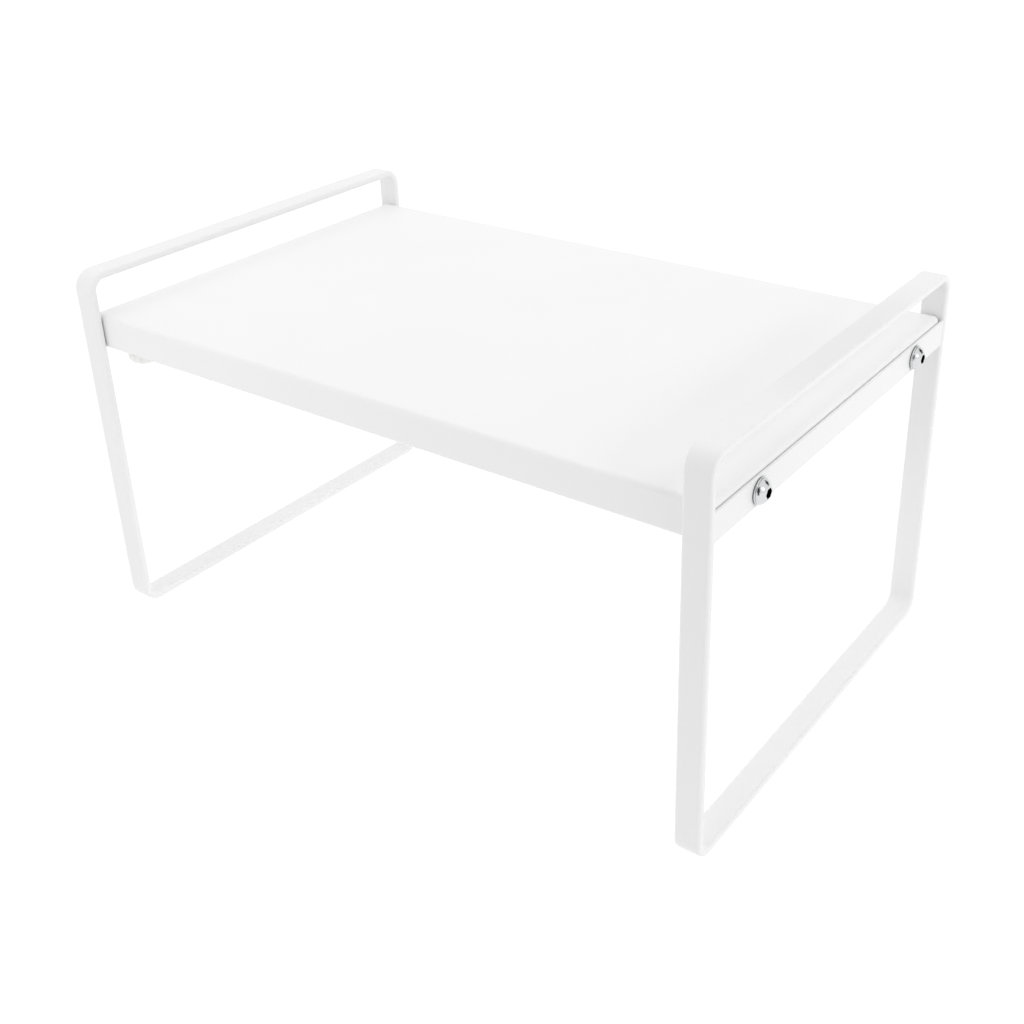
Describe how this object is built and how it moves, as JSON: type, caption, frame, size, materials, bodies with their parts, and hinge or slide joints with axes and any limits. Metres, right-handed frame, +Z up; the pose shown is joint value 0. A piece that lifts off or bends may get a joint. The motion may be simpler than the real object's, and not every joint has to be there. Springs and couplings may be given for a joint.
{
  "type": "expandable cabinet shelf",
  "caption": "White steel cabinet shelf whose nested panels slide apart between bent flat-bar loop frames, with thumb-screw locks under its long edges.",
  "frame": {"origin": "on the floor under the middle of the shelf when it is pushed together", "axes": "+X along the shelf to its right end, -Y to the front, +Z up"},
  "size_m": [0.3274, 0.2026, 0.17],
  "materials": {
    "powder_coat": "satin",
    "plated_steel": "bright",
    "white_nylon": "matte"
  },
  "bodies": {
    "right_half": {"right_frame_loop": "powder_coat", "right_crossbar": "powder_coat", "right_front_bolt": "plated_steel", "right_front_washer": "plated_steel", "right_front_nut": "plated_steel", "right_rear_bolt": "plated_steel", "right_rear_washer": "plated_steel", "right_rear_nut": "plated_steel", "outer_panel": "powder_coat"},
    "left_half": {"left_frame_loop": "powder_coat", "left_crossbar": "powder_coat", "left_front_bolt": "plated_steel", "left_front_washer": "plated_steel", "left_front_nut": "plated_steel", "left_rear_bolt": "plated_steel", "left_rear_washer": "plated_steel", "left_rear_nut": "plated_steel", "inner_panel": "powder_coat"},
    "front_lock_screw": {"front_lock_knob": "white_nylon", "front_lock_stud": "plated_steel"},
    "front_lock_clamp": {"front_lock_nut": "plated_steel"},
    "rear_lock_screw": {"rear_lock_knob": "white_nylon", "rear_lock_stud": "plated_steel"},
    "rear_lock_clamp": {"rear_lock_nut": "plated_steel"}
  },
  "joints": [
    {"name": "extension", "type": "slide", "parent": "right_half", "child": "left_half", "axis": [-1, 0, 0], "range_m": [0, 0.19]},
    {"name": "front_lock_turn", "type": "hinge", "parent": "right_half", "child": "front_lock_screw", "pos_m": [-0.1345, -0.0895, 0.1348], "axis": [0, 0, 1], "range_deg": [-360, 120]},
    {"name": "front_lock_lift", "type": "slide", "parent": "right_half", "child": "front_lock_clamp", "axis": [0, 0, 1], "range_m": [-0.00027, 0.0008]},
    {"name": "rear_lock_turn", "type": "hinge", "parent": "right_half", "child": "rear_lock_screw", "pos_m": [-0.1345, 0.0895, 0.1348], "axis": [0, 0, 1], "range_deg": [-360, 120]},
    {"name": "rear_lock_lift", "type": "slide", "parent": "right_half", "child": "rear_lock_clamp", "axis": [0, 0, 1], "range_m": [-0.00027, 0.0008]}
  ],
  "couplings": [
    {"joint": "front_lock_turn", "follows": "front_lock_lift", "rad_per_m": -7854},
    {"joint": "rear_lock_turn", "follows": "rear_lock_lift", "rad_per_m": -7854}
  ]
}
